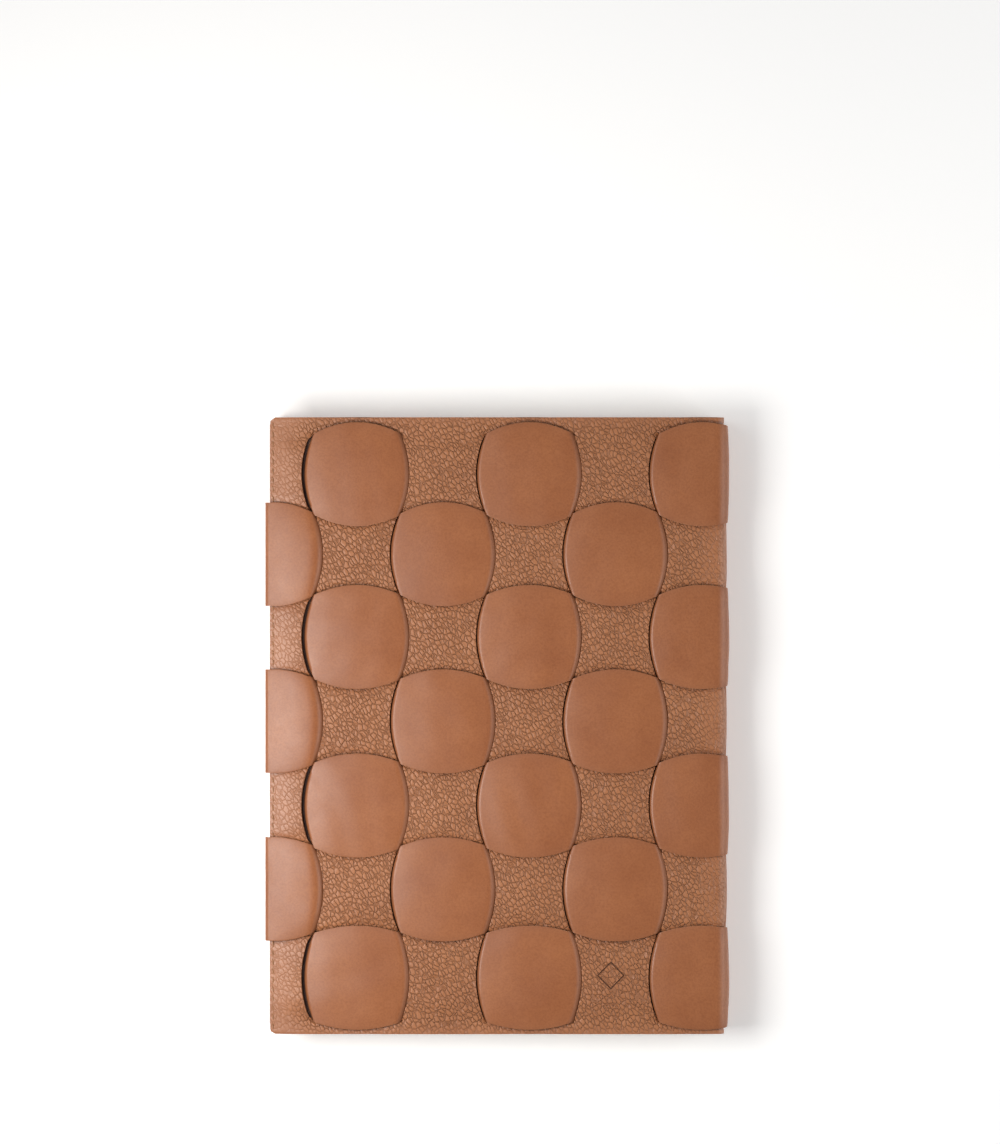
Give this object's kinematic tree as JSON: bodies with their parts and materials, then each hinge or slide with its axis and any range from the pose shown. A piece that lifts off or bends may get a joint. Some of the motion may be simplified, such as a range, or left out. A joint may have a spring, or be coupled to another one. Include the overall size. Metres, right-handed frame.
{
  "type": "leather notebook cover",
  "caption": "Woven leather cover for an A5 notebook: smooth scalloped strips laced through slits in pebbled leather, with lining, sleeves and a sewn paper refill.",
  "frame": {"origin": "under the middle of the closed cover, on the surface that its back lies on", "axes": "+Z out of the front cover, +Y along the spine towards the head, +X from the fore-edge to the spine"},
  "size_m": [0.1632, 0.217, 0.0204],
  "materials": {
    "pebbled_leather": "pebbled grain, tan, semi-matt",
    "smooth_leather": "smooth, tan, soft sheen",
    "lining_suede": "matt suede split",
    "sleeve_leather": "fine grain, tan",
    "refill_card": "matt kraft card",
    "page_paper": "uncoated cream paper"
  },
  "bodies": {
    "back_cover": {"back_panel": "pebbled_leather", "strip_1_back": "smooth_leather", "strip_2_back": "smooth_leather", "strip_3_back": "smooth_leather", "strip_4_back": "smooth_leather", "strip_5_back": "smooth_leather", "strip_6_back": "smooth_leather", "strip_7_back": "smooth_leather", "back_lining": "lining_suede", "back_sleeve": "sleeve_leather", "refill_back_card": "refill_card", "pages_lower": "page_paper"},
    "spine": {"spine_panel": "pebbled_leather", "strip_1_spine": "smooth_leather", "strip_2_spine": "smooth_leather", "strip_3_spine": "smooth_leather", "strip_4_spine": "smooth_leather", "strip_5_spine": "smooth_leather", "strip_6_spine": "smooth_leather", "strip_7_spine": "smooth_leather", "spine_lining": "lining_suede", "refill_spine_card": "refill_card"},
    "front_cover": {"front_panel": "pebbled_leather", "strip_1_front": "smooth_leather", "strip_2_front": "smooth_leather", "strip_3_front": "smooth_leather", "strip_4_front": "smooth_leather", "strip_5_front": "smooth_leather", "strip_6_front": "smooth_leather", "strip_7_front": "smooth_leather", "front_lining": "lining_suede", "front_sleeve": "sleeve_leather", "refill_front_card": "refill_card"},
    "turned_pages": {"pages_upper": "page_paper"}
  },
  "joints": [
    {"name": "back_fold", "type": "hinge", "parent": "back_cover", "child": "spine", "pos_m": [0.07965, 0, 0.0019], "axis": [0, 1, 0], "range_deg": [0, 90]},
    {"name": "front_fold", "type": "hinge", "parent": "spine", "child": "front_cover", "pos_m": [0.07965, 0, 0.0185], "axis": [0, 1, 0], "range_deg": [0, 90]},
    {"name": "page_turn", "type": "hinge", "parent": "back_cover", "child": "turned_pages", "pos_m": [0.07585, 0, 0.0102], "axis": [0, 1, 0], "range_deg": [0, 180]}
  ],
  "couplings": [
    {"joint": "front_fold", "follows": "back_fold", "ratio": 1},
    {"joint": "page_turn", "follows": "back_fold", "ratio": 2}
  ]
}
